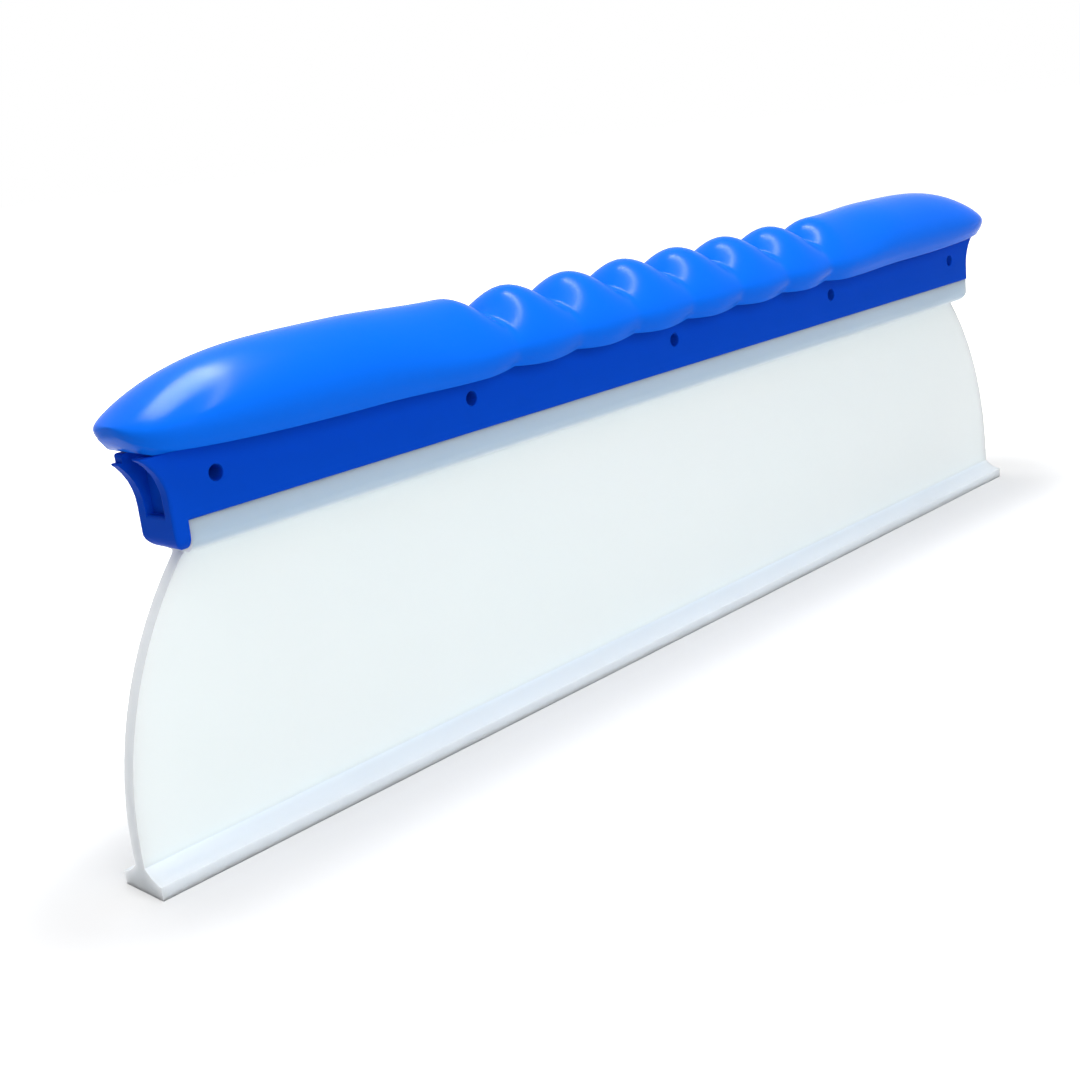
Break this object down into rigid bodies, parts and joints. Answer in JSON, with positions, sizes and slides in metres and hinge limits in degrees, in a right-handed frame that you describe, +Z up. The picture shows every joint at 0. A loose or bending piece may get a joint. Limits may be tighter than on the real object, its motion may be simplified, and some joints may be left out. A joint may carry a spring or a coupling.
{
  "type": "hand-held silicone water blade",
  "caption": "Short hand squeegee: a full-length wavy finger grip clamps a soft flared silicone blade whose T-shaped foot wipes water off smooth panels and glass.",
  "frame": {"origin": "middle of the T foot's flat sole, below the middle of the blade", "axes": "+X along the wiping edge, +Y towards the rear jaw and its screw heads, +Z up from the sole to the grip"},
  "size_m": [0.305, 0.026, 0.0913],
  "materials": {
    "grip_plastic": "moulded, satin gloss",
    "jaw_plastic": "moulded, satin gloss",
    "silicone": "soft, milky, slightly translucent",
    "screw_steel": "zinc-plated steel"
  },
  "bodies": {
    "handle": {"grip_cover": "grip_plastic", "front_jaw": "jaw_plastic", "rear_jaw": "jaw_plastic", "clamp_screws": "screw_steel"},
    "blade": {"silicone_blade": "silicone"}
  },
  "joints": [
    {"name": "blade_flex", "type": "hinge", "parent": "handle", "child": "blade", "pos_m": [0, 0, 0.0575], "axis": [1, 0, 0], "range_deg": [-25, 25], "stiffness_Nm_per_rad": 0.2, "deforming": ["silicone_blade"]}
  ]
}
